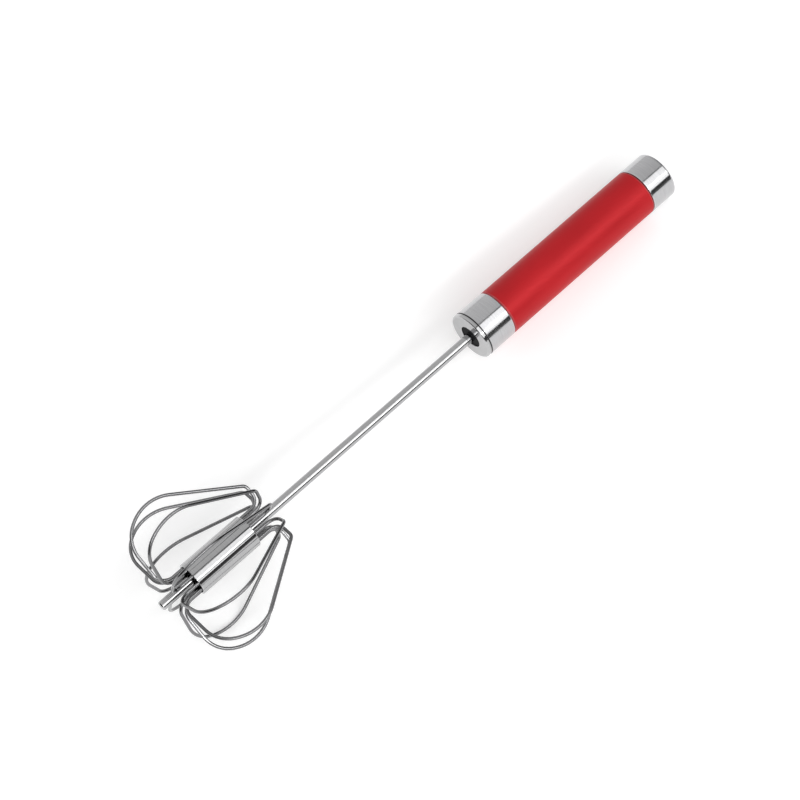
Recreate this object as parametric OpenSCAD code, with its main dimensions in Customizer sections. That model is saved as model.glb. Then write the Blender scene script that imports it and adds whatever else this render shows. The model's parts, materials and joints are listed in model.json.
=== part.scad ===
// Push-down rotary whisk, lying on a table.
// Pressing the handle towards the head slides the shaft into the handle. A twisted
// strip fixed in the handle then turns the shaft, and a spring pushes it back out.
// Every piece is drawn upright on the shaft's axis, with Z measured from the shaft's
// tip, and lay_down() then lays it on its lowest two wires and the end of its handle.

/* [Whisk head] */
// Number of wire loops round the head
loop_count = 10; // [8:2:10]
// Diameter of the wire
wire_d = 1.5; // [1.2:0.1:1.6]
// Distance of a loop's inner leg from the axis
leg_r = 6; // [5.4:0.05:6.1]
// Height of the loops' top above the tip
loop_top = 59.5; // [58:0.5:64]
// Height of the loops' bottom above the tip
loop_bottom = 5.8; // [5:0.2:6.2]
// Distance from the axis at which a loop starts to flare
crown_r = 15; // [14:0.5:16]
// Distance of the belly corner from the axis
belly_r = 39.2; // [37.2:0.2:40]
// Height of the belly corner above the tip
belly_z = 22.6; // [22.6:0.2:26]
// Distance of the toe corner from the axis
toe_r = 29; // [28:0.5:30]
// Bend radius where a loop turns out above the sleeve
neck_bend = 4.6; // [3:0.1:5]
// Bend radius where a loop starts to flare
crown_bend = 2.6; // [2:0.1:4]
// Bend radius of the belly
belly_bend = 18; // [12:0.5:18]
// Bend radius of the toe
toe_bend = 14; // [8:0.5:14]
// Bend radius where a loop turns up beside the tip
foot_bend = 6; // [3:0.2:7]
// Height of the sleeve's lower edge above the tip
sleeve_z = 17; // [15:0.5:19]
// Length of the sleeve that clamps the wires
sleeve_len = 31.4; // [28:0.2:34]
// Wall of the sleeve
sleeve_wall = 0.95; // [0.6:0.05:1]

/* [Shaft] */
// Outer diameter of the shaft tube
shaft_d = 4.4; // [4.2:0.1:4.6]
// Wall of the shaft tube
shaft_wall = 0.5; // [0.4:0.05:0.5]
// Length of shaft and head outside the handle, with the whisk at rest
reach = 179; // [165:1:195]

/* [Handle] */
// Diameter of the red grip
grip_d = 22.6; // [22:0.1:24]
// Length of the red grip between the ferrules
grip_len = 89; // [85:1:100]
// Diameter of both ferrules
ferrule_d = 22.9; // [22.9:0.05:24.5]
// Length of the front ferrule behind the end plug
front_len = 14.1; // [12:0.1:16]
// Length of the rear ferrule
rear_len = 13.7; // [12:0.1:16]
// Thickness of the end plug's flange
flange_t = 2.2; // [1.8:0.1:2.6]
// Diameter of the hole in the end plug
mouth_d = 10.9; // [9:0.1:11.5]

/* [Drive] */
// Stroke of the handle
stroke = 40; // [30:1:40]
// Length of the drive strip over which it turns once
lead = 24; // [20:1:40]
// Width of the drive strip
strip_w = 3; // [2.8:0.1:3]
// Thickness of the drive strip
strip_t = 0.8; // [0.6:0.1:0.9]
// Turns of the return spring
spring_turns = 14; // [10:1:16]
// Wire diameter of the return spring
spring_wire_d = 1; // [0.8:0.1:1.1]

/* [Hidden] */
$fn = 64;
// Radial clearances of running fits and of fixed pieces
run_fit = 0.06;
push_fit = 0.02;
slide_gap = 0.3;
// Gap between pieces that stand end to end
stack_gap = 0.1;
// How far a cut runs past the face that it opens
cut = 1;

steel = [0.78, 0.79, 0.8];
dark_steel = [0.55, 0.56, 0.58];
red = [0.74, 0.12, 0.15];
nylon = [0.12, 0.12, 0.13];
brass = [0.78, 0.63, 0.32];
rubber = [0.2, 0.2, 0.2];

wire_r = wire_d / 2;
shaft_r = shaft_d / 2;
shaft_bore = shaft_r - shaft_wall;
grip_r = grip_d / 2;
ferrule_r = ferrule_d / 2;
mouth_r = mouth_d / 2;

// One wire loop in its own plane: distance from the axis, height above the tip.
// It climbs out of the sleeve, turns out and down, and comes back in from below.
leg_gap = 4;
leg_end = sleeve_z + sleeve_len / 2;
loop_path = [
    [leg_r, leg_end + leg_gap / 2],
    [leg_r, loop_top],
    [crown_r, loop_top],
    [belly_r, belly_z],
    [toe_r, loop_bottom],
    [leg_r, loop_bottom],
    [leg_r, leg_end - leg_gap / 2]
];
loop_bends = [0, neck_bend, crown_bend, belly_bend, toe_bend, foot_bend, 0];
// How far a run stands inside a bend, and how much thinner it is
run_in = 0.05;
hair = 0.01;
// Which corner of the path is the belly
belly = 3;

// Stations along the axis, from the tip
chamfer = 0.5;
tip_t = 1.2;
tip_spigot = 4.8;
core_inset = 2.4;
flange_z = reach;
tube_z = flange_z + flange_t;
grip_z = tube_z + front_len;
rear_z = grip_z + grip_len;
butt_z = rear_z + rear_len;

// Edge roundings
butt_round = 1.1;
flange_round = 0.55;
grip_round = 0.6;
lip_round = 0.4;
sleeve_round = 0.25;
seam_round = 0.15;

// Shadow gaps between the grip and the ferrules, and behind the end plug's flange
grip_gap = 0.2;
groove_w = 0.35;
groove_depth = 0.8;

// Inside of the handle
web_t = 2.4;
ferrule_wall = 0.8;
ferrule_in = ferrule_r - ferrule_wall;
neck_r = ferrule_in - push_fit;
neck_len = 8;
tube_r = 7.5;
tube_in = 6.7;
insert_r = tube_in - push_fit;
cap_t = 2.6;
cap_gap = 0.4;
tube_end = butt_z - cap_t - cap_gap;
spigot_len = 8;
bush_z = tube_z + spigot_len + stack_gap;
bush_len = 12;
bush_recess = 0.5;
stop_z = bush_z + bush_len + stack_gap;
stop_t = 2;
collar_z = stop_z + stop_t + slide_gap;
collar_t = 5;
collar_r = 5;
thrust_z = collar_z + collar_t + run_fit;
thrust_t = 1;
seat_z = thrust_z + thrust_t;
seat_flange = 1.4;
seat_t = 4.5;
seat_r = tube_in - slide_gap;
seat_hub_r = 3.9;
spring_r = 5;
spring_z = seat_z + seat_flange;
shaft_past_seat = 17;
shaft_end = spring_z + shaft_past_seat;
nut_skirt = 2.5;
nut_disc = 2.5;
nut_z = shaft_end - nut_skirt;
nut_end = shaft_end + nut_disc;
nut_r = 3.4;
spare_travel = 2;
plug_z = nut_end + stroke + spare_travel;
plug_recess = 1.5;
plug_end = tube_end - plug_recess;
plug_bore_gap = 0.2;
pin_r = 0.8;
pin_depth = 6;
pin_z = plug_end - pin_depth;
strip_in_shaft = 9;
strip_z = shaft_end - strip_in_shaft;
twist_in_plug = 2;
twist_end = plug_z + twist_in_plug;
strip_recess = 1;
strip_end = plug_end - strip_recess;
tang_extra = 0.1;
tang_overlap = 0.5;
slot_slack = 0.1;
twist_step = 6;
spring_sides = 8;
spring_steps = 18 * spring_turns;

// Lying on the table: the two lowest wires and the handle's end touch it
lowest_turn = 180 / loop_count;
belly_c = bend_centre(belly);
butt_c = [ferrule_r - butt_round, butt_z - butt_round];
first_tilt = 5;
tilt = lie_angle(6, first_tilt);
lift = butt_c[1] * sin(tilt) + butt_c[0] * cos(tilt) + butt_round;
tip_x = -(shaft_r - chamfer) * sin(tilt);
butt_x = butt_c[1] * cos(tilt) + butt_c[0] * sin(tilt) + butt_round;

function wire_name(i) = str("wire_", i < 10 ? "0" : "", i);

function unit(v) = v / norm(v);

// Half of the angle inside corner i of the wire's path
function half_corner(i) =
    acos(unit(loop_path[i - 1] - loop_path[i]) * unit(loop_path[i + 1] - loop_path[i])) / 2;

// Centre of the bend that rounds corner i
function bend_centre(i) =
    let (back = unit(loop_path[i - 1] - loop_path[i]))
    let (ahead = unit(loop_path[i + 1] - loop_path[i]))
    loop_path[i] + unit(back + ahead) * loop_bends[i] / sin(half_corner(i));

// Length of straight run that the bend at corner i takes up on each side
function bend_reach(i) = loop_bends[i] == 0 ? 0 : loop_bends[i] / tan(half_corner(i));

// Lowest depth of a wire beside the down direction, for a handle tilted by a
function belly_depth(a) =
    let (k = cos(lowest_turn))
    belly_c[0] * k * cos(a) + belly_bend * sqrt(pow(sin(a), 2) + pow(k * cos(a), 2)) + wire_r;

// Tilt at which wires and handle's end reach the same depth, refined n times
function lie_angle(n, a) =
    n == 0 ? a : lie_angle(n - 1, asin(
        (belly_depth(a) - butt_c[0] * cos(a) - butt_round) / (butt_c[1] - belly_c[1])
    ));

module lay_down() {
    translate([-(tip_x + butt_x) / 2, 0, lift])
        rotate([0, 90 + tilt, 0])
            children();
}

module rod(r, z0, z1) {
    translate([0, 0, z0])
        cylinder(r = r, h = z1 - z0);
}

module ring(r_out, r_in, z0, z1) {
    difference() {
        rod(r_out, z0, z1);
        rod(r_in, z0 - cut, z1 + cut);
    }
}

// Solid bar whose lower and upper edges are rounded by lo and hi
module rounded_bar(r, z0, z1, lo, hi) {
    rotate_extrude()
        difference() {
            translate([0, z0])
                square([r, z1 - z0]);
            if (lo > 0)
                corner_waste([r - lo, z0 + lo], lo, -1);
            if (hi > 0)
                corner_waste([r - hi, z1 - hi], hi, 1);
        }
}

// What a rounded outer corner loses: a square less a quarter of a circle
module corner_waste(centre, r, side) {
    translate(centre)
        difference() {
            translate([0, side < 0 ? -2 * r : 0])
                square(2 * r);
            circle(r = r);
        }
}

// ---- Handle ----

// The grip's thinner ends run on under both ferrules
module grip() {
    color(red)
        lay_down()
            difference() {
                union() {
                    rounded_bar(
                        grip_r, grip_z + grip_gap, rear_z - grip_gap, grip_round, grip_round
                    );
                    rod(neck_r, tube_z + web_t + stack_gap, rear_z + neck_len);
                }
                rod(tube_r + push_fit, tube_z, butt_z);
            }
}

module core_tube() {
    color(dark_steel)
        lay_down()
            difference() {
                ring(tube_r, tube_in, tube_z + push_fit, tube_end);
                cross_pin(pin_r + push_fit, tube_r + cut);
            }
}

module front_ferrule() {
    color(steel)
        lay_down()
            difference() {
                rounded_bar(ferrule_r, tube_z + push_fit, grip_z, seam_round, lip_round);
                rod(tube_r + push_fit, tube_z - cut, grip_z);
                rod(ferrule_in, tube_z + web_t, grip_z + cut);
            }
}

module end_plug() {
    color(steel)
        lay_down()
            difference() {
                union() {
                    rounded_bar(
                        ferrule_r, flange_z, tube_z - groove_w, flange_round, seam_round
                    );
                    rod(ferrule_r - groove_depth, tube_z - cut, tube_z);
                    rod(insert_r, tube_z - cut, tube_z + spigot_len);
                }
                rod(mouth_r, flange_z - cut, tube_z + spigot_len + cut);
            }
}

module rear_ferrule() {
    color(steel)
        lay_down()
            difference() {
                rounded_bar(ferrule_r, rear_z, butt_z, lip_round, butt_round);
                rod(ferrule_in, rear_z - cut, butt_z - cap_t);
            }
}

// The bush's nose fills the hole in the end plug
module guide_bush() {
    color(nylon)
        lay_down()
            difference() {
                union() {
                    rod(mouth_r - push_fit, flange_z + bush_recess, bush_z + cut);
                    rod(insert_r, bush_z, bush_z + bush_len);
                }
                rod(shaft_r + run_fit, flange_z, bush_z + bush_len + cut);
            }
}

module stop_washer() {
    color(rubber)
        lay_down()
            ring(insert_r - stack_gap, shaft_r + slide_gap, stop_z, stop_z + stop_t);
}

module cross_pin(r, half_length) {
    translate([0, 0, pin_z])
        rotate([0, 90, 0])
            cylinder(r = r, h = 2 * half_length, center = true);
}

module top_plug() {
    color(nylon)
        lay_down()
            difference() {
                rod(insert_r, plug_z, plug_end);
                rod(strip_w / 2 + plug_bore_gap, plug_z - cut, plug_end + cut);
                cross_pin(pin_r + push_fit, tube_r);
            }
}

// The strip's cross-section, turned to match the twist at height z.
// It stands square to the cross pin from twist_end upwards.
module strip_section(z, slack) {
    rotate(360 * (z - twist_end) / lead)
        square([strip_t + 2 * slack, strip_w + 2 * slack], center = true);
}

module twisted_length(z0, z1, slack) {
    turn = 360 * (z1 - z0) / lead;
    translate([0, 0, z0])
        linear_extrude(height = z1 - z0, twist = -turn, slices = ceil(turn / twist_step), segments = 4)
            strip_section(z0, slack);
}

// Twisted strip with a straight tang, a little stouter, that the cross pin holds
module drive_strip() {
    color(steel)
        lay_down()
            difference() {
                union() {
                    twisted_length(strip_z, twist_end + tang_overlap, 0);
                    translate([0, 0, (twist_end + strip_end) / 2])
                        cube([
                            strip_t + 2 * tang_extra,
                            strip_w + 2 * tang_extra,
                            strip_end - twist_end
                        ], center = true);
                }
                cross_pin(pin_r + push_fit, strip_w);
            }
}

module strip_pin() {
    color(dark_steel)
        lay_down()
            cross_pin(pin_r, tube_r - stack_gap);
}

// ---- Carrier: slides in the handle and doesn't turn ----

module spring_seat() {
    color(nylon)
        lay_down()
            difference() {
                union() {
                    rod(seat_r, seat_z, spring_z);
                    rod(seat_hub_r, seat_z, seat_z + seat_t);
                }
                rod(shaft_r + run_fit, seat_z - cut, seat_z + seat_t + cut);
            }
}

module thrust_washer() {
    color(brass)
        lay_down()
            ring(collar_r, shaft_r + run_fit, thrust_z, seat_z - hair);
}

// Round wire swept up a helix, with flat ends
module return_spring() {
    n = spring_sides;
    r = spring_wire_d / 2;
    z0 = spring_z + push_fit + r;
    rise = plug_z - push_fit - r - z0;
    points = [
        for (i = [0:spring_steps])
            let (turn = 360 * spring_turns * i / spring_steps)
            for (j = [0:n - 1])
                let (a = 360 * (j + 0.5) / n)
                [
                    (spring_r + r * cos(a)) * cos(turn),
                    (spring_r + r * cos(a)) * sin(turn),
                    z0 + rise * i / spring_steps + r * sin(a)
                ]
    ];
    skin = [
        for (i = [0:spring_steps - 1])
            for (j = [0:n - 1])
                let (k = (j + 1) % n)
                [i * n + j, (i + 1) * n + j, (i + 1) * n + k, i * n + k]
    ];
    start_face = [for (j = [0:n - 1]) j];
    end_face = [for (j = [n - 1:-1:0]) spring_steps * n + j];
    color(steel)
        lay_down()
            polyhedron(points, concat(skin, [start_face, end_face]), convexity = 10);
}

// ---- Shaft and head: slide with the carrier and turn ----

module shaft_tube() {
    color(steel)
        lay_down()
            ring(shaft_r, shaft_bore, tip_t, shaft_end);
}

module tip_plug() {
    color(steel)
        lay_down() {
            cylinder(r1 = shaft_r - chamfer, r2 = shaft_r, h = chamfer);
            rod(shaft_r, chamfer, tip_t - push_fit);
            rod(shaft_bore - push_fit, tip_t - push_fit, tip_t + tip_spigot);
        }
}

module drive_nut() {
    color(brass)
        lay_down()
            difference() {
                rod(nut_r, nut_z, nut_end);
                rod(shaft_r + push_fit, nut_z - cut, shaft_end + push_fit);
                twisted_length(shaft_end, nut_end + cut, slot_slack);
            }
}

module stop_collar() {
    color(dark_steel)
        lay_down()
            ring(collar_r, shaft_r + push_fit, collar_z, collar_z + collar_t);
}

module head_sleeve() {
    outer = leg_r + wire_r + push_fit + sleeve_wall;
    color(steel)
        lay_down()
            difference() {
                rounded_bar(outer, sleeve_z, sleeve_z + sleeve_len, sleeve_round, sleeve_round);
                rod(outer - sleeve_wall, sleeve_z - cut, sleeve_z + sleeve_len + cut);
            }
}

module head_core() {
    color(dark_steel)
        lay_down()
            ring(
                leg_r - wire_r - push_fit,
                shaft_r + push_fit,
                sleeve_z + core_inset,
                sleeve_z + sleeve_len - core_inset
            );
}

// Straight run of wire between corners i and i + 1 of its path.
// It is a hair thinner than the bends, and its ends stand a little way inside them.
module wire_run(i) {
    start = loop_path[i];
    along = loop_path[i + 1] - start;
    from = bend_reach(i) - (loop_bends[i] == 0 ? 0 : run_in);
    to = norm(along) - bend_reach(i + 1) + (loop_bends[i + 1] == 0 ? 0 : run_in);
    translate(start + unit(along) * from)
        rotate([0, 0, atan2(along[1], along[0])])
            rotate([0, 90, 0])
                cylinder(r = wire_r - hair, h = to - from);
}

// Bend of the wire at corner i: every bend of the loop turns clockwise
module wire_bend(i) {
    centre = bend_centre(i);
    ahead = unit(loop_path[i + 1] - loop_path[i]);
    leaving = loop_path[i] + ahead * bend_reach(i) - centre;
    translate(centre)
        rotate([0, 0, atan2(leaving[1], leaving[0])])
            rotate_extrude(angle = 180 - 2 * half_corner(i))
                translate([loop_bends[i], 0])
                    circle(r = wire_r, $fn = 32);
}

// Loop i stands (i - 1/2) steps round from straight down
module wire_loop(i) {
    color(steel)
        lay_down()
            rotate([0, 0, (i - 0.5) * 360 / loop_count])
                rotate([90, 0, 0]) {
                    for (k = [0:len(loop_path) - 2])
                        wire_run(k);
                    for (k = [1:len(loop_path) - 2])
                        wire_bend(k);
                }
}

grip();
core_tube();
front_ferrule();
end_plug();
rear_ferrule();
guide_bush();
stop_washer();
top_plug();
drive_strip();
strip_pin();
spring_seat();
thrust_washer();
return_spring();
shaft_tube();
tip_plug();
drive_nut();
stop_collar();
head_sleeve();
head_core();
for (i = [1:loop_count])
    wire_loop(i);
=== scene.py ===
"""Push-down rotary whisk: its finished look, built round the packed frame.

Every turned part is an outline of stations along the shaft's axis and distances from
it, carried round that axis. Wires and the return spring are a circle carried along a
line. Stations are metres from the shaft's tip towards the handle's end.
"""
import json
import math

import bpy
import numpy as np
from bpy.props import FloatProperty, FloatVectorProperty, IntProperty, PointerProperty
from mathutils import Matrix, Vector


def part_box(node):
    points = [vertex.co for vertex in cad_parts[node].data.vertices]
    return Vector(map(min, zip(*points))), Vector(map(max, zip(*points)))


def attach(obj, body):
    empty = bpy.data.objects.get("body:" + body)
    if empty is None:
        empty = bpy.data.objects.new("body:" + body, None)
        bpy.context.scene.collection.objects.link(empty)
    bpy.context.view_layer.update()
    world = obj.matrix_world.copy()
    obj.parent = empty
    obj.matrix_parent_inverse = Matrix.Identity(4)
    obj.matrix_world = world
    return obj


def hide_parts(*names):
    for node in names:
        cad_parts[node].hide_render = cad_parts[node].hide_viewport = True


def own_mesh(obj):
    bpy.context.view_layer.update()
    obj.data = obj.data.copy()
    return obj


bl_info = {
    "name": "Push-down rotary whisk",
    "version": (1, 0, 0),
    "blender": (4, 5, 0),
    "location": "View3D > Sidebar > Whisk",
    "description": "Builds the whisk's grip, ferrules, shaft and wire head round its frame",
    "category": "Object",
}

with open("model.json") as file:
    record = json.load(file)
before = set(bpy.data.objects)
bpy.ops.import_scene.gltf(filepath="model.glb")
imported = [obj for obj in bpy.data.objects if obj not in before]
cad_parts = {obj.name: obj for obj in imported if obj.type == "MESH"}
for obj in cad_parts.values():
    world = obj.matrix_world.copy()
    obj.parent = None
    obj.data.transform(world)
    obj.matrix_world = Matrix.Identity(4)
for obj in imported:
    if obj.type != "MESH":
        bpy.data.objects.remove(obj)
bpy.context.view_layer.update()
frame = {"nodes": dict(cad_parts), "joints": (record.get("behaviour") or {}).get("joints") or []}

MM = 0.001
FIT = 0.06 * MM          # how far a piece's box may differ from its CAD node's
CLOSE = 0.02 * MM        # how far corners at one distance from the axis may differ in it
PROBE = 1.0 * MM         # how far from a step a node is measured on either side of it
SHARP_ANGLE = math.radians(32)
ARC_POINTS = 7           # points on a rounded corner of a turned part
BEND_POINTS = 33         # points on a bend of a wire
GUARD = 0.3 * MM         # straight sides get a point this far in from each end
INNERMOST = 0.3          # a closed end's last ring, as a share of the part's radius
GROOVE_SHADE_CORNER = -1.0            # given as a rounding: a sharp corner deep in a groove or gap, which gets painted shade
WALL_PER_EDGE = 5        # a tube's wall over the rounding of its edges
TURN_POINTS = 40         # points on each turn of the return spring
SPRING_SIDES = 12        # faces round the return spring's wire
CLOSED_PITCH = 1.05      # rise of a closed end turn of the spring, in wire diameters
CLOSED_TURNS = 0.5       # turns at each end of the spring that stay closed
FLOOR_SQUARES = 8        # squares of faces along each side of the floor
GLOW_END = 4             # the floor's glow is gone this many reaches from the middle
SENSOR_WIDTH = 36.0      # millimetres
OILED_STEEL = (0.5, 0.51, 0.53)


def unit(vector):
    """The vector divided by its length."""
    return np.asarray(vector, float) / np.linalg.norm(vector)


def joint(name):
    """The record's joint of that name."""
    return next(j for j in frame["joints"] if j["name"] == name)


def corners_of(mesh):
    """A mesh's corners, one row each."""
    places = np.zeros(len(mesh.vertices) * 3)
    mesh.vertices.foreach_get("co", places)
    return places.reshape(-1, 3)


def node_corners(node):
    """A CAD node's mesh corners, one row each."""
    return corners_of(frame["nodes"][node].data)


# The shaft's axis points from the tip to the handle's end. SIDE is level and UP is
# square to both, so the three directions turn with the whisk as it lies.
AXIS = unit(joint("whisk_spin")["axis"])
SIDE = np.array([0.0, 1.0, 0.0])
UP = np.cross(AXIS, SIDE)
PIVOT = np.array(joint("whisk_spin")["pos_m"], float)
TIP = PIVOT + AXIS * ((node_corners("tip_plug") - PIVOT) @ AXIS).min()
LIE_ANGLE = math.atan2(-AXIS[2], AXIS[0])


# ---- Measuring the CAD nodes ----

def measured(node):
    """Stations along the axis and distances from it, for all of a node's corners."""
    places = node_corners(node) - TIP
    stations = places @ AXIS
    return stations, np.linalg.norm(places - np.outer(stations, AXIS), axis=1)


def span(node):
    """A node's first and last station."""
    stations, _ = measured(node)
    return stations.min(), stations.max()


def widest(node, low=-math.inf, high=math.inf):
    """A node's largest distance from the axis between two stations."""
    stations, distances = measured(node)
    return distances[(stations >= low) & (stations <= high)].max()


def narrowest(node, low=-math.inf, high=math.inf):
    """A node's smallest distance from the axis between two stations."""
    stations, distances = measured(node)
    return distances[(stations >= low) & (stations <= high)].min()


def span_at(node, distance):
    """First and last station of a node's corners that lie at a distance from the axis."""
    stations, distances = measured(node)
    there = stations[np.abs(distances - distance) < CLOSE]
    return there.min(), there.max()


# ---- Surfaces ----

def outline(corners, closed, arc_points=ARC_POINTS):
    """Points along an outline whose corners are (station, distance, rounding).

    A rounded corner becomes an arc that touches both of its sides: its centre lies on
    the corner's bisector, rounding / sin(half the corner's angle) from the corner.
    Each straight side gets a point a little way in from each end, which keeps its
    shading straight. Also gives 1 for each point on a rounded corner, the negative mark
    itself for a corner given it as its rounding (a sharp corner that gets painted
    shade), and 0 elsewhere.
    """
    corners = np.array(corners, float)
    places = corners[:, :2]
    count = len(places)
    points, wear_and_shade = [], []
    for i, rounding in enumerate(corners[:, 2]):
        if rounding <= 0:
            points.append(places[i:i + 1])
            wear_and_shade.append(np.full(1, rounding))
            continue
        back = unit(places[i - 1] - places[i])
        ahead = unit(places[(i + 1) % count] - places[i])
        half = math.acos(back @ ahead) / 2
        reach = rounding / math.tan(half)
        centre = places[i] + unit(back + ahead) * rounding / math.sin(half)
        start = places[i] + back * reach - centre
        end = places[i] + ahead * reach - centre
        turn = math.pi - 2 * half
        share = np.linspace(0, 1, arc_points)[:, None]
        arc = np.sin((1 - share) * turn) * start + np.sin(share * turn) * end
        points.append(centre + arc / math.sin(turn))
        wear_and_shade.append(np.ones(arc_points))
    points = np.concatenate(points)
    wear_and_shade = np.concatenate(wear_and_shade)
    following = np.roll(points, -1, axis=0)
    lengths = np.linalg.norm(following - points, axis=1)
    straight = lengths > 3 * GUARD
    straight[-1] &= closed
    step = (following - points)[straight] * (GUARD / lengths[straight])[:, None]
    where = np.flatnonzero(straight)
    # A side's two new points sort in after its own first point and before the next
    order = np.concatenate([np.arange(len(points)), where + 1 / 3, where + 2 / 3])
    points = np.concatenate([points, points[where] + step, following[where] - step])
    wear_and_shade = np.concatenate([wear_and_shade, np.zeros(2 * len(where))])
    order = np.argsort(order)
    return points[order], wear_and_shade[order]


def path_lengths(points, closed=False):
    """Distance along a line of points from its first, with the way back if closed."""
    if closed:
        points = np.concatenate([points, points[:1]])
    steps = np.linalg.norm(np.diff(points, axis=0), axis=1)
    return np.concatenate([[0], np.cumsum(steps)])


def side_faces(count, sides, along, joined):
    """Four-sided faces from each ring to the next, and each corner's surface map.

    Point j of ring i is corner i * sides + j. The map holds the share of the way round
    and the metres along.
    """
    i = np.arange(count if joined else count - 1)[:, None] + np.zeros((1, sides), int)
    j = np.arange(sides)[None, :] + np.zeros_like(i)
    ring = i * sides
    next_ring = (i + 1) % count * sides
    beside = (j + 1) % sides
    faces = np.stack([ring + j, ring + beside, next_ring + beside, next_ring + j], axis=-1)
    u = np.stack([j, j + 1, j + 1, j], axis=-1) / sides
    v = along[np.stack([i, i, i + 1, i + 1], axis=-1)]
    return faces.reshape(-1, 4), np.stack([u, v], axis=-1).reshape(-1, 4, 2)


def end_fans(rings, along):
    """Triangles from the first and last ring to a middle point of each.

    Gives the two middle points, the triangles and each corner's surface map, which
    goes on past the rings by their radius.
    """
    count, sides = rings.shape[:2]
    middles = rings[[0, -1]].mean(axis=1)
    j = np.arange(sides)
    beside = (j + 1) % sides
    last = (count - 1) * sides
    hub = np.full(sides, count * sides)
    fans = np.concatenate([
        np.stack([beside, j, hub], axis=1),
        np.stack([last + j, last + beside, hub + 1], axis=1),
    ])
    u = np.concatenate([
        np.stack([j + 1, j, j + 0.5], axis=1),
        np.stack([j, j + 1, j + 0.5], axis=1),
    ]) / sides
    radius = np.linalg.norm(rings[[0, -1], 0] - middles, axis=1)
    v = np.repeat([
        [along[0], along[0], along[0] - radius[0]],
        [along[count - 1], along[count - 1], along[count - 1] + radius[1]],
    ], sides, axis=0)
    return middles, fans, np.stack([u, v], axis=-1)


def skin(name, rings, along, wear_and_shade, joined):
    """Mesh over rings of points, with its faces outwards and a surface map.

    A joined skin closes its last ring on its first. Any other has both ends closed
    by a fan. The sign of the enclosed volume, the sum of a . (b x c) over all
    triangles, tells whether the faces point inwards and have to be turned round. The
    attribute of marks is above 0 on rounded edges, for wear, and below 0 in corners
    that get painted shade.
    """
    count, sides = rings.shape[:2]
    faces, maps = side_faces(count, sides, along, joined)
    places = rings.reshape(-1, 3)
    fans, fan_maps = np.zeros((0, 3), int), np.zeros((0, 3, 2))
    marks = np.repeat(wear_and_shade, sides)
    if not joined:
        middles, fans, fan_maps = end_fans(rings, along)
        places = np.concatenate([places, middles])
        marks = np.concatenate([marks, np.zeros(len(middles))])
    triangles = np.concatenate([faces[:, [0, 1, 2]], faces[:, [0, 2, 3]], fans])
    a, b, c = (places[triangles[:, k]] for k in range(3))
    if np.einsum("ij,ij->", a, np.cross(b, c)) < 0:
        faces, maps = faces[:, ::-1], maps[:, ::-1]
        fans, fan_maps = fans[:, ::-1], fan_maps[:, ::-1]
    mesh = bpy.data.meshes.new(name)
    mesh.from_pydata(places.tolist(), [], faces.tolist() + fans.tolist())
    surface_map = mesh.uv_layers.new(name="surface")
    flat = np.concatenate([maps.reshape(-1, 2), fan_maps.reshape(-1, 2)])
    surface_map.uv.foreach_set("vector", flat.ravel())
    mesh.attributes.new("wear_and_shade", "FLOAT", "POINT").data.foreach_set("value", marks)
    mesh.shade_smooth()
    mesh.set_sharp_from_angle(angle=SHARP_ANGLE)
    piece = bpy.data.objects.new(name, mesh)
    bpy.context.scene.collection.objects.link(piece)
    return piece


def turned(name, corners, sides, closed=True):
    """Part turned on the shaft's axis.

    point = tip + axis * station + distance * (up * cos(turn) + side * sin(turn)), for
    every (station, distance) of the outline and every turn. An open outline starts and
    ends near the axis, where a fan closes it.
    """
    points, wear_and_shade = outline(corners, closed)
    turn = np.linspace(0, 2 * math.pi, sides, endpoint=False)
    spokes = np.outer(np.cos(turn), UP) + np.outer(np.sin(turn), SIDE)
    rings = TIP + points[:, :1, None] * AXIS + points[:, 1:, None] * spokes
    return skin(name, rings, path_lengths(points, closed), wear_and_shade, closed)


def drawn(name, line, across, radius, sides):
    """Wire whose round section is carried along a line.

    point = line(s) + radius * (across * cos(turn) + over * sin(turn)), where over is
    square to the line's direction and to across. Both ends are closed.
    """
    heading = np.gradient(line, axis=0)
    over = np.cross(heading, across)
    over /= np.linalg.norm(over, axis=1, keepdims=True)
    turn = np.linspace(0, 2 * math.pi, sides, endpoint=False)
    section = (
        across[:, None, :] * np.cos(turn)[None, :, None]
        + over[:, None, :] * np.sin(turn)[None, :, None]
    )
    rings = line[:, None, :] + radius * section
    return skin(name, rings, path_lengths(line), np.zeros(len(line)), False)


def ring_corners(start, end, inner, outer, rounding):
    """Outline of a plain ring with all four edges rounded."""
    return [
        (start, inner, rounding), (start, outer, rounding),
        (end, outer, rounding), (end, inner, rounding),
    ]


def grooves(start, end, outer, count, width=1.0 * MM, depth=0.3 * MM):
    """Outline corners of evenly spaced grooves cut into a ring's outer wall."""
    corners = []
    for k in range(count):
        middle = start + (end - start) * (k + 1) / (count + 1)
        low, high = middle - width / 2, middle + width / 2
        corners += [
            (low, outer, 0), (low, outer - depth, 0),
            (high, outer - depth, 0), (high, outer, 0),
        ]
    return corners


def finish_piece(piece, node, body, material, fit=FIT):
    """Puts a piece in its CAD node's place: material, body and a check of its size."""
    piece.data.materials.append(material)
    places = corners_of(piece.data)
    low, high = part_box(node)
    miss = max(np.abs(places.min(axis=0) - low).max(), np.abs(places.max(axis=0) - high).max())
    if miss > fit:
        raise RuntimeError(f"{piece.name} misses the box of {node} by {miss / MM:.3f} mm")
    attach(piece, body)
    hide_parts(node)


# ---- Materials ----

def add(tree, kind, inputs=None, **settings):
    """Adds a node, sets its settings, and fills or joins its inputs."""
    node = tree.nodes.new(kind)
    for name, value in settings.items():
        setattr(node, name, value)
    for name, value in (inputs or {}).items():
        if isinstance(value, bpy.types.NodeSocket):
            tree.links.new(value, node.inputs[name])
        else:
            node.inputs[name].default_value = value
    return node


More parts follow.
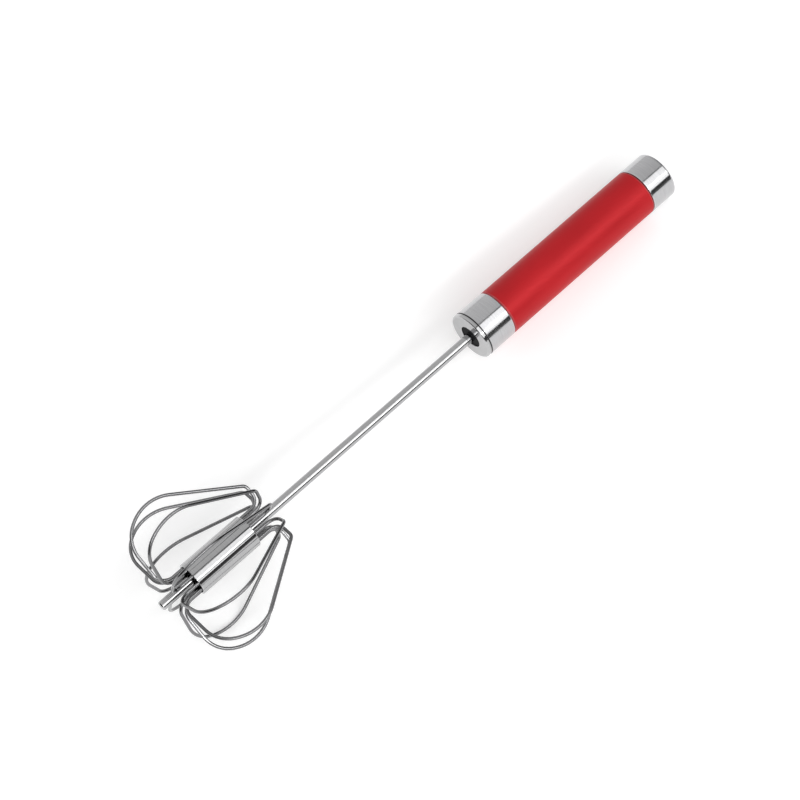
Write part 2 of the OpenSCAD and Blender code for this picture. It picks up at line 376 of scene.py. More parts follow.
def new_material(name, view_colour):
    """Empty node material. Returns it, its tree and its Principled shader."""
    material = bpy.data.materials.new(name)
    material.use_nodes = True
    material.diffuse_color = (*view_colour[:3], 1)
    tree = material.node_tree
    tree.nodes.clear()
    shader = add(tree, "ShaderNodeBsdfPrincipled")
    add(tree, "ShaderNodeOutputMaterial", {"Surface": shader.outputs["BSDF"]})
    return material, tree, shader


def along_axis(tree, grain_along, grain_across):
    """Object coordinates turned onto the shaft's axis, in grains of the given sizes."""
    place = add(tree, "ShaderNodeTexCoord").outputs["Object"]
    return add(tree, "ShaderNodeMapping", {
        "Vector": place,
        "Location": TIP,
        "Rotation": (0, LIE_ANGLE, 0),
        "Scale": (grain_along, grain_across, grain_across),
    }, vector_type="TEXTURE").outputs["Vector"]


def along_wire(tree, grain_along, grains_round):
    """The piece's surface map, stretched into grains along the wire."""
    place = add(tree, "ShaderNodeUVMap", uv_map="surface").outputs["UV"]
    return add(tree, "ShaderNodeMapping", {
        "Vector": place,
        "Scale": (grains_round, 1 / grain_along, 1),
    }).outputs["Vector"]


def noise(tree, place, detail=2.0, scale=1.0, roughness=0.5):
    """Soft noise between 0 and 1 at a place."""
    return add(tree, "ShaderNodeTexNoise", {
        "Vector": place, "Scale": scale, "Detail": detail, "Roughness": roughness,
    }).outputs["Fac"]


def spread(tree, value, low, high, from_low=0.3, from_high=0.7):
    """Carries a value from one range onto another."""
    return add(tree, "ShaderNodeMapRange", {
        "Value": value, "From Min": from_low, "From Max": from_high,
        "To Min": low, "To Max": high,
    }).outputs["Result"]


def blend_colours(tree, share, first, second):
    """Mixes two colours by a share."""
    mix = add(tree, "ShaderNodeMix", data_type="RGBA")
    tree.links.new(share, mix.inputs["Factor"])
    for socket, colour in (("A", first), ("B", second)):
        target = next(s for s in mix.inputs if s.name == socket and s.type == "RGBA")
        if isinstance(colour, bpy.types.NodeSocket):
            tree.links.new(colour, target)
        else:
            target.default_value = (*colour[:3], 1)
    return next(s for s in mix.outputs if s.type == "RGBA")


def scaled(colour, share):
    """The colour made darker or brighter."""
    return [channel * share for channel in colour[:3]]


def mottled(tree, marks, colour, dark, bright):
    """The colour, from a dark to a bright share of itself as the noise rises."""
    return blend_colours(
        tree, spread(tree, marks, 0, 1), scaled(colour, dark), scaled(colour, bright)
    )


def computed(tree, operation, *values):
    """Result of a Math node on its values, each a socket or a number."""
    return add(tree, "ShaderNodeMath", dict(enumerate(values)), operation=operation).outputs[0]


def raised(tree, shader, height, strength, depth):
    """Gives the shader the fine relief of a height between 0 and 1."""
    bump = add(tree, "ShaderNodeBump", {
        "Height": height, "Strength": strength, "Distance": depth,
    })
    tree.links.new(bump.outputs["Normal"], shader.inputs["Normal"])


def worn_edges(tree, place):
    """How worn a point is: the rounded edges, broken up by noise."""
    marks = add(tree, "ShaderNodeAttribute", attribute_name="wear_and_shade").outputs["Fac"]
    return computed(tree, "MULTIPLY", marks, spread(tree, noise(tree, place), 0.4, 1.0))


def painted_groove_shade(tree):
    """How much painted shade a point gets: 1 deep in a groove or gap and 0 at its edge."""
    marks = add(tree, "ShaderNodeAttribute", attribute_name="wear_and_shade").outputs["Fac"]
    return spread(tree, marks, 0, 1, 0, GROOVE_SHADE_CORNER)


def polished_steel(name, colour, line_depth, smoothest, roughest):
    """Turned and polished stainless steel: fine lines round the axis, soft smears from
    handling, edges rubbed a little brighter and duller, and painted shade, near black
    and rough, deep in grooves."""
    material, tree, shader = new_material(name, colour)
    lines = noise(tree, along_axis(tree, 0.4 * MM, 9 * MM), detail=5, roughness=0.65)
    smears = noise(tree, along_axis(tree, 14 * MM, 5 * MM), detail=4, roughness=0.6)
    edges = worn_edges(tree, along_axis(tree, 1.2 * MM, 1.2 * MM))
    groove_shade = painted_groove_shade(tree)
    shade = mottled(tree, lines, colour, dark=1 - line_depth, bright=1.02)
    rubbed = blend_colours(tree, edges, shade, scaled(colour, 1.12))
    # Painted shade: the steel's colour goes near black deep in grooves and gaps
    groove_shaded_colour = blend_colours(tree, groove_shade, rubbed, scaled(colour, 0.03))
    tree.links.new(groove_shaded_colour, shader.inputs["Base Color"])
    smeared = spread(tree, smears, smoothest, roughest)
    dulled = computed(tree, "ADD", smeared, spread(tree, edges, 0, 0.06, 0, 1))
    dulled = computed(tree, "ADD", dulled, spread(tree, groove_shade, 0, 0.4, 0, 1))
    tree.links.new(dulled, shader.inputs["Roughness"])
    shader.inputs["Metallic"].default_value = 1.0
    raised(tree, shader, lines, strength=0.12, depth=0.01 * MM)
    return material


def drawn_wire(name, colour, smoothest, roughest):
    """Drawn steel wire: fine lines along its length and a slightly uneven gloss."""
    material, tree, shader = new_material(name, colour)
    lines = noise(tree, along_wire(tree, grain_along=6 * MM, grains_round=14), detail=3)
    patches = noise(tree, along_wire(tree, grain_along=9 * MM, grains_round=1.5), detail=3)
    shade = mottled(tree, patches, colour, dark=0.92, bright=1.04)
    tree.links.new(shade, shader.inputs["Base Color"])
    tree.links.new(spread(tree, lines, smoothest, roughest), shader.inputs["Roughness"])
    shader.inputs["Metallic"].default_value = 1.0
    raised(tree, shader, lines, strength=0.2, depth=0.01 * MM)
    return material


def satin_red(colour):
    """Satin red coating: a fine grain, cloudy gloss, paler worn edges and painted shade in the gaps
    beside the ferrules.
    """
    material, tree, shader = new_material("satin red", colour)
    grain = noise(tree, along_axis(tree, 0.16 * MM, 0.16 * MM), detail=2)
    clouds = noise(tree, along_axis(tree, 26 * MM, 12 * MM), detail=3)
    edges = worn_edges(tree, along_axis(tree, 2 * MM, 2 * MM))
    shade = mottled(tree, clouds, colour, dark=0.94, bright=1.05)
    pale = [0.35 * channel + 0.16 for channel in colour[:3]]
    rubbed = blend_colours(tree, spread(tree, edges, 0, 0.5, 0, 1), shade, pale)
    # Painted shade: the red goes dark in the gaps beside the ferrules
    groove_shaded_colour = blend_colours(tree, painted_groove_shade(tree), rubbed, scaled(colour, 0.1))
    tree.links.new(groove_shaded_colour, shader.inputs["Base Color"])
    tree.links.new(spread(tree, clouds, 0.38, 0.46), shader.inputs["Roughness"])
    shader.inputs["Metallic"].default_value = 0.18
    shader.inputs["Specular IOR Level"].default_value = 0.12
    raised(tree, shader, grain, strength=0.25, depth=0.02 * MM)
    return material


def turned_metal(name, colour, smoothest, roughest):
    """Plain turned metal inside the handle: tool lines round the axis and oily patches."""
    material, tree, shader = new_material(name, colour)
    lines = noise(tree, along_axis(tree, 0.2 * MM, 12 * MM), detail=3)
    oil = noise(tree, along_axis(tree, 4 * MM, 3 * MM), detail=4)
    shade = mottled(tree, oil, colour, dark=0.8, bright=1.05)
    tree.links.new(shade, shader.inputs["Base Color"])
    tree.links.new(spread(tree, oil, smoothest, roughest), shader.inputs["Roughness"])
    shader.inputs["Metallic"].default_value = 1.0
    raised(tree, shader, lines, strength=0.5, depth=0.02 * MM)
    return material


def moulded(name, colour, grain, smoothest, roughest):
    """Moulded nylon or rubber: a fine skin texture and slightly cloudy gloss."""
    material, tree, shader = new_material(name, colour)
    skin_grain = noise(tree, along_axis(tree, grain, grain), detail=3)
    clouds = noise(tree, along_axis(tree, 5 * MM, 5 * MM), detail=3)
    shade = mottled(tree, clouds, colour, dark=0.85, bright=1.25)
    tree.links.new(shade, shader.inputs["Base Color"])
    tree.links.new(spread(tree, clouds, smoothest, roughest), shader.inputs["Roughness"])
    shader.inputs["Specular IOR Level"].default_value = 0.05
    raised(tree, shader, skin_grain, strength=0.4, depth=0.03 * MM)
    return material


def shared(name, make, colour, **values):
    """The material of that name, made the first time it is asked for."""
    return bpy.data.materials.get(name) or make(name, colour, **values)


def ferrule_finish(context):
    """Bright steel of the handle's ferrules, with a brushed grain."""
    steel = context.scene.whisk_handle.steel_colour
    return shared(
        "polished steel", polished_steel, steel, line_depth=0.1, smoothest=0.1, roughest=0.17
    )


def shaft_finish(context):
    """Darker and glossier steel of the shaft, its tip, the sleeve and the end plug."""
    steel = context.scene.whisk_shaft.steel_colour
    return shared(
        "shaft steel", polished_steel, steel, line_depth=0.12, smoothest=0.055, roughest=0.11
    )


def nylon_finish():
    """Black moulded nylon."""
    black = (0.009, 0.009, 0.01)
    return shared("black nylon", moulded, black, grain=0.3 * MM, smoothest=0.42, roughest=0.55)


def rubber_finish():
    """Dull black rubber."""
    black = (0.03, 0.03, 0.03)
    return shared("soft rubber", moulded, black, grain=0.5 * MM, smoothest=0.65, roughest=0.8)


def brass_finish():
    """Turned brass."""
    return shared(
        "turned brass", turned_metal, (0.72, 0.52, 0.22), smoothest=0.2, roughest=0.34
    )


def inner_steel_finish():
    """Plain oiled steel."""
    return shared("oiled steel", turned_metal, OILED_STEEL, smoothest=0.2, roughest=0.36)


# ---- Settings ----

def mm_property(name, default_mm, description, low_mm=0.0, high_mm=400.0):
    """A length property, given in millimetres and kept in metres."""
    return FloatProperty(
        name=name, description=description, default=default_mm * MM,
        min=low_mm * MM, max=high_mm * MM, unit="LENGTH", subtype="DISTANCE", precision=5,
    )


def colour_property(name, default, description):
    """A colour property."""
    return FloatVectorProperty(
        name=name, description=description, default=default,
        size=3, min=0.0, max=1.0, subtype="COLOR",
    )


class HandleSettings(bpy.types.PropertyGroup):
    """Colours and edge roundings of the handle."""
    grip_colour: colour_property("Grip colour", (0.47, 0.016, 0.021), "Colour of the satin grip")
    steel_colour: colour_property("Steel colour", (0.53, 0.53, 0.54), "Colour of the ferrules")
    grip_round: mm_property("Grip edge", 0.6, "Rounding of the grip's ends beside the ferrules")
    lip_round: mm_property("Ferrule lip", 0.4, "Rounding of the ferrules' open ends")
    seam_round: mm_property("Seam edge", 0.15, "Rounding at the seams of the frame")
    flange_round: mm_property("Flange edge", 0.9, "Rounding of the end plug's front edge")
    groove_depth: mm_property("Groove", 0.8, "Depth of the groove behind the end plug's flange")
    mouth_round: mm_property("Mouth edge", 0.2, "Rounding of the hole in the end plug")
    butt_round: mm_property("Butt edge", 1.1, "Rounding of the closed rear end")
    sides: IntProperty(
        name="Sides", description="Faces round each turned part of the handle",
        default=160, min=24, max=256,
    )


class ShaftSettings(bpy.types.PropertyGroup):
    """Details of the shaft and the sleeve."""
    steel_colour: colour_property(
        "Steel colour", (0.47, 0.47, 0.475), "Colour of the shaft, sleeve and end plug"
    )
    chamfer: mm_property("Tip chamfer", 0.5, "Chamfer on the shaft's closed tip")
    tip_round: mm_property("Tip edge", 0.15, "Rounding of the chamfer's edges")
    sleeve_round: mm_property("Sleeve edge", 0.25, "Rounding of the sleeve's ends")
    core_round: mm_property("Core edge", 0.3, "Rounding of the core's ends inside the sleeve")
    sides: IntProperty(
        name="Sides", description="Faces round the shaft and the sleeve",
        default=96, min=24, max=192,
    )


class LoopSettings(bpy.types.PropertyGroup):
    """Outline of one wire loop: distances from the axis and stations from the tip."""
    count: IntProperty(
        name="Loops", description="Number of loops round the head", default=10, min=3, max=16,
    )
    wire_d: mm_property("Wire", 1.5, "Diameter of the wire")
    leg_r: mm_property("Leg distance", 6, "Distance of a loop's inner leg from the axis")
    leg_start: mm_property("Leg start", 34.7, "Station where the upper leg starts")
    leg_end: mm_property("Leg end", 30.7, "Station where the lower leg ends")
    top: mm_property("Top", 59.5, "Station of a loop's top")
    bottom: mm_property("Bottom", 5.8, "Station of a loop's bottom")
    crown_r: mm_property("Crown distance", 15, "Distance at which a loop starts to flare")
    belly_r: mm_property("Belly distance", 39.2, "Distance of the belly's corner")
    belly: mm_property("Belly", 22.6, "Station of the belly's corner")
    toe_r: mm_property("Toe distance", 29, "Distance of the toe's corner")
    neck_bend: mm_property("Neck bend", 4.6, "Bend above the sleeve")
    crown_bend: mm_property("Crown bend", 2.6, "Bend where a loop starts to flare")
    belly_bend: mm_property("Belly bend", 18, "Bend of the belly")
    toe_bend: mm_property("Toe bend", 14, "Bend of the toe")
    foot_bend: mm_property("Foot bend", 6, "Bend beside the tip")
    ring_step: mm_property("Ring step", 0.45, "Distance between rings of faces along the wire", 0.1)
    sides: IntProperty(
        name="Sides", description="Faces round the wire", default=16, min=8, max=32,
    )
    # Much darker than steel: painted shade standing in for the dark reflections along the wires
    shade_darkened_wire_colour: colour_property("Wire colour", (0.23, 0.23, 0.235), "Colour of the drawn wire")


class DriveSettings(bpy.types.PropertyGroup):
    """Details of the mechanism inside the handle."""
    spring_wire_d: mm_property("Spring wire", 1, "Diameter of the return spring's wire")
    spring_turns: IntProperty(
        name="Spring turns", description="Turns of the return spring",
        default=14, min=4, max=30,
    )
    edge_round: mm_property("Edges", 0.2, "Rounding of the small turned parts")


class StageSettings(bpy.types.PropertyGroup):
    """Floor, light and camera."""
    floor_colour: colour_property(
        "Floor colour", (0.82, 0.82, 0.82), "Share of light the floor sends back"
    )
    floor_glow: FloatProperty(
        name="Floor glow", description="Brightness of the lit sheet under the whisk",
        default=0.31, min=0.0, max=2.0,
    )
    glow_reach: mm_property("Glow reach", 400, "Distance at which the glow starts to fade", 0, 4000)
    floor_size: FloatProperty(
        name="Floor size", description="Side of the square floor", default=60.0,
        min=1.0, unit="LENGTH", subtype="DISTANCE",
    )
    light: FloatProperty(
        name="Light", description="Strength of the studio light",
        default=2.2, min=0.0, max=20.0,
    )
    aim: FloatVectorProperty(
        name="Aim", description="Point that the camera looks at",
        default=(-0.0121, 0.00186, 0.02008), size=3, unit="LENGTH", subtype="TRANSLATION",
    )
    distance: FloatProperty(
        name="Distance", description="Distance of the camera from its aim",
        default=0.9465, min=0.2, unit="LENGTH", subtype="DISTANCE",
    )
    azimuth: FloatProperty(
        name="Azimuth", description="Camera's turn round the whisk; 0 looks along +Y",
        default=math.radians(-29.12), unit="ROTATION", subtype="ANGLE",
    )
    elevation: FloatProperty(
        name="Elevation", description="Camera's height above the floor, as an angle",
        default=math.radians(61.0), unit="ROTATION", subtype="ANGLE",
    )
    roll: FloatProperty(
        name="Roll", description="Camera's turn about its own line of sight",
        default=math.radians(-17.37), unit="ROTATION", subtype="ANGLE",
    )
    lens: FloatProperty(
        name="Lens", description="Focal length on a 36 mm sensor",
        default=98.96, min=20.0, max=300.0, unit="CAMERA",
    )


# ---- Pieces ----

class WHISK_OT_grip(bpy.types.Operator):
    """Makes the red grip with its thinner ends under the ferrules"""
    bl_idname = "whisk.make_grip"
    bl_label = "Make grip"

    def execute(self, context):
        edges = context.scene.whisk_handle
        start, end = span("grip")
        bore, outer = narrowest("grip"), widest("grip")
        first, last = span_at("grip", outer)
        first, last = first - edges.grip_round, last + edges.grip_round
        neck = widest("grip", high=first - PROBE)
        # The sharp inner corners where the grip steps down under the ferrules get painted shade
        piece = turned("red_grip", [
            (start, bore, 0), (start, neck, edges.seam_round),
            (first, neck, GROOVE_SHADE_CORNER), (first, outer, edges.grip_round),
            (last, outer, edges.grip_round), (last, neck, GROOVE_SHADE_CORNER),
            (end, neck, edges.seam_round), (end, bore, 0),
        ], edges.sides)
        finish_piece(piece, "grip", "handle", satin_red(edges.grip_colour))
        return {"FINISHED"}


class WHISK_OT_ferrules(bpy.types.Operator):
    """Makes the front ferrule, the flanged end plug and the closed rear ferrule"""
    bl_idname = "whisk.make_ferrules"
    bl_label = "Make ferrules"

    def execute(self, context):
        edges = context.scene.whisk_handle
        steel = ferrule_finish(context)

        start, end = span("front_ferrule")
        outer, bore = widest("front_ferrule"), narrowest("front_ferrule")
        web = span_at("front_ferrule", bore)[1]
        inner = narrowest("front_ferrule", low=end - PROBE)
        # The front outer corner, against the end plug's groove, gets painted shade
        front = turned("front_ferrule_polished", [
            (start, bore, 0), (start, outer, GROOVE_SHADE_CORNER),
            (end, outer, edges.lip_round), (end, inner, 0),
            (web, inner, 0), (web, bore, 0),
        ], edges.sides)
        finish_piece(front, "front_ferrule", "handle", steel)

        start, end = span("end_plug")
        outer, mouth = widest("end_plug"), narrowest("end_plug")
        seam = span_at("end_plug", outer)[1] + edges.seam_round
        floor = outer - edges.groove_depth
        web = span_at("end_plug", floor)[1]
        spigot = widest("end_plug", low=end - PROBE)
        # The groove behind the flange gets painted shade, near black
        plug = turned("end_plug_polished", [
            (start, mouth, edges.mouth_round), (start, outer, edges.flange_round),
            (seam, outer, GROOVE_SHADE_CORNER), (seam, floor, GROOVE_SHADE_CORNER),
            (web, floor, GROOVE_SHADE_CORNER), (web, spigot, 0),
            (end, spigot, edges.seam_round), (end, mouth, edges.seam_round),
        ], edges.sides)
        finish_piece(plug, "end_plug", "handle", shaft_finish(context))

        start, end = span("rear_ferrule")
        outer = widest("rear_ferrule")
        inner = narrowest("rear_ferrule", high=start + PROBE)
        cap = span_at("rear_ferrule", inner)[1]
        rear = turned("rear_ferrule_polished", [
            (cap, inner * INNERMOST, 0), (cap, inner, 0),
            (start, inner, 0), (start, outer, edges.lip_round),
            (end, outer, edges.butt_round), (end, outer * INNERMOST, 0),
        ], edges.sides, closed=False)
        finish_piece(rear, "rear_ferrule", "handle", steel)
        return {"FINISHED"}


class WHISK_OT_shaft(bpy.types.Operator):
    """Makes the long polished shaft and its closed, chamfered tip"""
    bl_idname = "whisk.make_shaft"
    bl_label = "Make shaft"

    def execute(self, context):
        details = context.scene.whisk_shaft
        steel = shaft_finish(context)
        start, end = span("shaft_tube")
        outer, bore = widest("shaft_tube"), narrowest("shaft_tube")
        corners = ring_corners(start, end, bore, outer, (outer - bore) / WALL_PER_EDGE)
        tube = turned("shaft_polished", corners, details.sides)
        finish_piece(tube, "shaft_tube", "whisk", steel)

        first, last = span("tip_plug")
        spigot = widest("tip_plug", low=last - PROBE)
        face = outer - details.chamfer
        shoulder = span_at("tip_plug", outer)[1]
        tip = turned("tip_polished", [
            (first, face * INNERMOST, 0), (first, face, details.tip_round),
            (first + details.chamfer, outer, details.tip_round), (shoulder, outer, 0),
            (shoulder, spigot, 0), (last, spigot, 0), (last, spigot * INNERMOST, 0),
        ], details.sides, closed=False)
        finish_piece(tip, "tip_plug", "whisk", steel)
        return {"FINISHED"}


class WHISK_OT_sleeve(bpy.types.Operator):
    """Makes the polished sleeve and the dark core that clamp the wires"""
    bl_idname = "whisk.make_sleeve"
    bl_label = "Make sleeve"

    def execute(self, context):
        details = context.scene.whisk_shaft
        for name, node, rounding, finish, slot in (
            ("sleeve_polished", "head_sleeve", details.sleeve_round,
             shaft_finish(context), "polished_steel"),
            ("sleeve_core", "head_core", details.core_round,
             inner_steel_finish(), "inner_steel"),
        ):
            start, end = span(node)
            corners = ring_corners(start, end, narrowest(node), widest(node), rounding)
            piece = turned(name, corners, details.sides)
            finish_piece(piece, node, "whisk", finish)
        return {"FINISHED"}


def loop_profile(loop):
    """Evenly spaced stations and distances from the axis along one wire loop.

    The wire leaves the sleeve, bends outwards above it, flares to the belly, turns in
    at the toe and runs back beside the tip: straight stretches joined by arcs.
    """
    bends, _ = outline([
        (loop.leg_start, loop.leg_r, 0),
        (loop.top, loop.leg_r, loop.neck_bend),
        (loop.top, loop.crown_r, loop.crown_bend),
        (loop.belly, loop.belly_r, loop.belly_bend),
        (loop.bottom, loop.toe_r, loop.toe_bend),
        (loop.bottom, loop.leg_r, loop.foot_bend),
        (loop.leg_end, loop.leg_r, 0),
    ], closed=False, arc_points=BEND_POINTS)
    travelled = path_lengths(bends)
    even = np.linspace(0, travelled[-1], round(travelled[-1] / loop.ring_step))
    return (np.interp(even, travelled, bends[:, k]) for k in (0, 1))


class WHISK_OT_wires(bpy.types.Operator):
    """Makes the closed wire loops, evenly spaced round the shaft"""
    bl_idname = "whisk.make_wires"
    bl_label = "Make wires"

    def execute(self, context):
        loop = context.scene.whisk_loops
        station, distance = loop_profile(loop)
        # The wire's colour is darkened steel: painted shade for the dark reflections along the
        # wires
        wire = drawn_wire("drawn wire", loop.shade_darkened_wire_colour, smoothest=0.07, roughest=0.15)
        for i in range(loop.count):
            turn = 2 * math.pi * (i + 0.5) / loop.count
            spoke = SIDE * math.sin(turn) - UP * math.cos(turn)
            line = TIP + np.outer(station, AXIS) + np.outer(distance, spoke)
            across = np.tile(np.cross(AXIS, spoke), (len(line), 1))
            piece = drawn(f"loop_{i + 1:02d}", line, across, loop.wire_d / 2, loop.sides)
            finish_piece(piece, f"wire_{i + 1:02d}", "whisk", wire)
        return {"FINISHED"}


def coil(start, end, mean, wire_d, turns):
    """Middle line of a spring's wire, and its outward direction at each point.

    line = tip + axis * station + mean * outward, where outward goes round the axis
    once a turn and the station climbs by the pitch. The end turns lie almost closed,
    and the pitch opens smoothly between them: openness = t * t * (3 - 2 * t).
    """
    turned_by = np.linspace(0, turns, turns * TURN_POINTS + 1)
    inward = np.clip(np.minimum(turned_by, turns - turned_by) - CLOSED_TURNS, 0, 1)
    openness = inward ** 2 * (3 - 2 * inward)
    closed_pitch = CLOSED_PITCH * wire_d
    rise = end - start - wire_d
    opening = (rise - closed_pitch * turns) / (openness.mean() * turns)
    pitch = closed_pitch + opening * openness
    steps = (pitch[1:] + pitch[:-1]) / 2 * np.diff(turned_by)
    climbed = np.concatenate([[0], np.cumsum(steps)])
    station = start + wire_d / 2 + climbed * rise / climbed[-1]
    angle = 2 * math.pi * turned_by
    outward = np.outer(np.sin(angle), SIDE) - np.outer(np.cos(angle), UP)
    return TIP + np.outer(station, AXIS) + mean * outward, outward


class WHISK_OT_spring(bpy.types.Operator):
    """Makes the return spring's coil at its CAD node's length; the real spring shortens as the
    handle is pressed
    """
    bl_idname = "whisk.make_spring"
    bl_label = "Make return spring"

    def execute(self, context):
        drive = context.scene.whisk_drive
        start, end = span("return_spring")
        radius = drive.spring_wire_d / 2
        mean = widest("return_spring") - radius
        line, outward = coil(start, end, mean, drive.spring_wire_d, drive.spring_turns)
        finish = drawn_wire("spring wire", OILED_STEEL, smoothest=0.2, roughest=0.34)
        piece = drawn("return_spring_coil", line, outward, radius, SPRING_SIDES)
        finish_piece(
            piece, "return_spring", "carrier", finish, fit=drive.spring_wire_d
        )
        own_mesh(piece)
        return {"FINISHED"}


class WHISK_OT_inner_rings(bpy.types.Operator):
    """Makes the bush, washers, collar and spring seat inside the handle"""
    bl_idname = "whisk.make_inner_rings"
    bl_label = "Make inner rings"

    def execute(self, context):
        drive = context.scene.whisk_drive
        sides = context.scene.whisk_shaft.sides
        rounding = drive.edge_round
        for node, body, cut_count, finish, slot in (
            ("stop_washer", "handle", 0, rubber_finish(), "soft_rubber"),
            ("thrust_washer", "carrier", 0, brass_finish(), "brass"),
            ("stop_collar", "whisk", 1, inner_steel_finish(), "inner_steel"),
        ):
            start, end = span(node)
            corners = ring_corners(start, end, narrowest(node), widest(node), rounding)
            cuts = grooves(start, end, widest(node), cut_count)
            piece = turned(f"{node}_turned", corners[:2] + cuts + corners[2:], sides)
            finish_piece(piece, node, body, finish)

        start, end = span("guide_bush")
        outer, bore = widest("guide_bush"), narrowest("guide_bush")
        shoulder = span_at("guide_bush", outer)[0]
        nose = widest("guide_bush", high=start + PROBE)
        bush = turned("guide_bush_moulded", [
            (start, bore, rounding), (start, nose, rounding),
            (shoulder, nose, 0), (shoulder, outer, rounding),
            *grooves(shoulder, end, outer, 2),
            (end, outer, rounding), (end, bore, rounding),
        ], sides)
        finish_piece(bush, "guide_bush", "handle", nylon_finish())

        start, end = span("spring_seat")
        outer, bore = widest("spring_seat"), narrowest("spring_seat")
        flange = span_at("spring_seat", outer)[1]
        hub = widest("spring_seat", low=end - PROBE)
        seat = turned("spring_seat_moulded", [
            (start, bore, 0), (start, outer, rounding), (flange, outer, rounding),
            (flange, hub, rounding), (end, hub, rounding), (end, bore, rounding),
        ], sides)
        finish_piece(seat, "spring_seat", "carrier", nylon_finish())
        return {"FINISHED"}


class WHISK_OT_drive_finish(bpy.types.Operator):
    """Gives the tube, strip, pin, nut and plug inside the handle their finishes"""
    bl_idname = "whisk.finish_drive"
    bl_label = "Finish drive parts"

    def execute(self, context):
        for node, finish in (
            ("core_tube", inner_steel_finish()),
            ("drive_strip", inner_steel_finish()),
            ("strip_pin", inner_steel_finish()),
            ("drive_nut", brass_finish()),
            ("top_plug", nylon_finish()),
        ):
            slots = frame["nodes"][node].material_slots
            if not slots:
                raise RuntimeError(f"{node} has no material slot")
            for material_slot in slots:
                material_slot.material = finish
        return {"FINISHED"}


# ---- Stage ----

# Brightness over the arc from the front horizon (0) over the zenith (90) to the back
# horizon (180): a dim front wall, a broad panel from 22.6 to 75 degrees with a bright
# strip along it from 39 to 43, a thin dark frame above the panel, and a pale back wall.
LIGHT_ARC = (
    (0, 0.07), (9, 0.035), (16, 0.02), (22, 0.01), (22.6, 0.8), (38, 0.8), (39, 4.0),
    (43, 4.0), (44, 0.8), (75, 0.8), (75.5, 0.02), (79, 0.05), (82, 0.33), (180, 0.37),
)


def light_tent(strength):
    """World of soft studio light: a broad panel along the whisk and pale walls.

    The angle of a direction over the arc is atan2(z, -y), and the light falls off
    towards both ends of the X axis.
    """
    world = bpy.data.worlds.new("light tent")
    bpy.context.scene.world = world
    world.use_nodes = True
    tree = world.node_tree
    tree.nodes.clear()
    direction = add(tree, "ShaderNodeTexCoord").outputs["Generated"]
    parts = add(tree, "ShaderNodeSeparateXYZ", {"Vector": direction})
    front = computed(tree, "MULTIPLY", parts.outputs["Y"], -1)
    arc = computed(tree, "ARCTAN2", parts.outputs["Z"], front)
    share = spread(tree, arc, 0, 1, from_low=0, from_high=math.pi)
    ramp = add(tree, "ShaderNodeValToRGB", {"Fac": share})
    stops = ramp.color_ramp.elements
    while len(stops) < len(LIGHT_ARC):
        stops.new(0.5)
    for stop, (angle, level) in zip(stops, LIGHT_ARC):
        stop.position = angle / 180
        stop.color = (level, level, level, 1)
    sideways = computed(tree, "ABSOLUTE", parts.outputs["X"])
    fall = spread(tree, sideways, 1.0, 0.06, from_low=0.5, from_high=0.85)
    dimmed = add(tree, "ShaderNodeVectorMath", operation="SCALE")
    tree.links.new(ramp.outputs["Color"], dimmed.inputs[0])
    tree.links.new(fall, dimmed.inputs["Scale"])
    background = add(tree, "ShaderNodeBackground", {
        "Color": dimmed.outputs["Vector"], "Strength": strength,
    })
    add(tree, "ShaderNodeOutputWorld", {"Surface": background.outputs["Background"]})


def pale_floor(side, floor_colour, glow, reach):
    """Square floor at height 0: a grid of points z = 0 over the square.

    It is lit a little from below, as a light table is, so that shadows on it stay pale,
    and that glow fades with the distance from the middle.
    """
    steps = np.linspace(-side / 2, side / 2, FLOOR_SQUARES + 1)
    x, y = np.meshgrid(steps, steps, indexing="ij")
    places = np.stack([x, y, np.zeros_like(x)], axis=-1).reshape(-1, 3)
    i, j = np.meshgrid(np.arange(FLOOR_SQUARES), np.arange(FLOOR_SQUARES), indexing="ij")
    first = (i * len(steps) + j).ravel()
    beyond = first + len(steps)
    faces = np.stack([first, beyond, beyond + 1, first + 1], axis=1)
    mesh = bpy.data.meshes.new("floor")
    mesh.from_pydata(places.tolist(), [], faces.tolist())
    floor = bpy.data.objects.new("floor", mesh)
    bpy.context.scene.collection.objects.link(floor)
    material, tree, shader = new_material("pale floor", floor_colour)
    place = add(tree, "ShaderNodeTexCoord").outputs["Object"]
    paper = noise(tree, place, detail=3, scale=4.0)
    shade = mottled(tree, paper, floor_colour, dark=0.995, bright=1)
    tree.links.new(shade, shader.inputs["Base Color"])
    out = add(tree, "ShaderNodeVectorMath", {0: place}, operation="LENGTH").outputs["Value"]
    fading = spread(tree, out, glow, 0, from_low=reach, from_high=GLOW_END * reach)
    tree.links.new(fading, shader.inputs["Emission Strength"])
    shader.inputs["Emission Color"].default_value = (1, 1, 1, 1)
    shader.inputs["Roughness"].default_value = 0.9
    shader.inputs["Specular IOR Level"].default_value = 0.1
    mesh.materials.append(material)


def place_camera(stage):
    """Camera looking at its aim from an azimuth and an elevation, with a roll.

    forward = (-sin(azimuth) cos(elevation), cos(azimuth) cos(elevation),
    -sin(elevation)), and the camera stands the distance back from its aim.
    """
    level = math.cos(stage.elevation)
    forward = Vector((
        -math.sin(stage.azimuth) * level,
        math.cos(stage.azimuth) * level,
        -math.sin(stage.elevation),
    ))
    right = forward.cross(Vector((0, 0, 1))).normalized()
    above = right.cross(forward)
    rolled_right = right * math.cos(stage.roll) + above * math.sin(stage.roll)
    rolled_up = above * math.cos(stage.roll) - right * math.sin(stage.roll)
    data = bpy.data.cameras.new("camera")
    data.lens = stage.lens
    data.sensor_width = SENSOR_WIDTH
    camera = bpy.data.objects.new("camera", data)
    bpy.context.scene.collection.objects.link(camera)
    turn = Matrix((rolled_right, rolled_up, -forward)).transposed().to_4x4()
    stand = Vector(stage.aim) - forward * stage.distance
    camera.matrix_world = Matrix.Translation(stand) @ turn
    bpy.context.scene.camera = camera


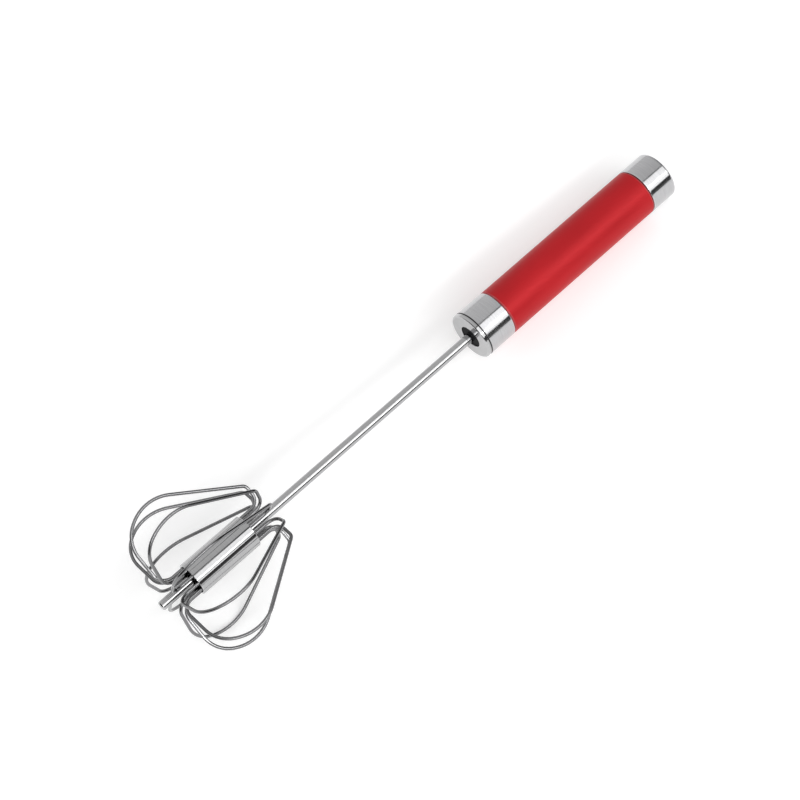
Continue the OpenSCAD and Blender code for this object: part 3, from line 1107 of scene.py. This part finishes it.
class WHISK_OT_stage(bpy.types.Operator):
    """Makes the pale floor, the studio light and the camera"""
    bl_idname = "whisk.make_stage"
    bl_label = "Make stage"

    def execute(self, context):
        stage = context.scene.whisk_stage
        pale_floor(stage.floor_size, stage.floor_colour, stage.floor_glow, stage.glow_reach)
        light_tent(stage.light)
        place_camera(stage)
        context.scene.view_settings.view_transform = "Standard"
        return {"FINISHED"}


# ---- Panel and registration ----

STEPS = (
    WHISK_OT_grip, WHISK_OT_ferrules, WHISK_OT_shaft, WHISK_OT_sleeve, WHISK_OT_wires,
    WHISK_OT_spring, WHISK_OT_inner_rings, WHISK_OT_drive_finish, WHISK_OT_stage,
)
SETTINGS = {
    "whisk_handle": HandleSettings,
    "whisk_shaft": ShaftSettings,
    "whisk_loops": LoopSettings,
    "whisk_drive": DriveSettings,
    "whisk_stage": StageSettings,
}


class VIEW3D_PT_whisk(bpy.types.Panel):
    """Lists every step of the whisk and its settings"""
    bl_label = "Whisk"
    bl_idname = "VIEW3D_PT_whisk"
    bl_space_type = "VIEW_3D"
    bl_region_type = "UI"
    bl_category = "Whisk"

    def draw(self, context):
        for step in STEPS:
            self.layout.operator(step.bl_idname)
        for name, group in SETTINGS.items():
            box = self.layout.box()
            box.label(text=group.__doc__)
            settings = getattr(context.scene, name)
            for key in group.__annotations__:
                box.prop(settings, key)


def register():
    """Registers the classes and hangs the settings on the scene."""
    for group in SETTINGS.values():
        bpy.utils.register_class(group)
    for name, group in SETTINGS.items():
        setattr(bpy.types.Scene, name, PointerProperty(type=group))
    for step in STEPS:
        bpy.utils.register_class(step)
    bpy.utils.register_class(VIEW3D_PT_whisk)


def unregister():
    """Takes back all that register added."""
    bpy.utils.unregister_class(VIEW3D_PT_whisk)
    for step in reversed(STEPS):
        bpy.utils.unregister_class(step)
    for name, group in SETTINGS.items():
        delattr(bpy.types.Scene, name)
        bpy.utils.unregister_class(group)


def main():
    """Makes every piece and the stage."""
    register()
    bpy.ops.whisk.make_grip()
    bpy.ops.whisk.make_ferrules()
    bpy.ops.whisk.make_shaft()
    bpy.ops.whisk.make_sleeve()
    bpy.ops.whisk.make_wires()
    bpy.ops.whisk.make_spring()
    bpy.ops.whisk.make_inner_rings()
    bpy.ops.whisk.finish_drive()
    bpy.ops.whisk.make_stage()


if __name__ == "__main__":
    main()
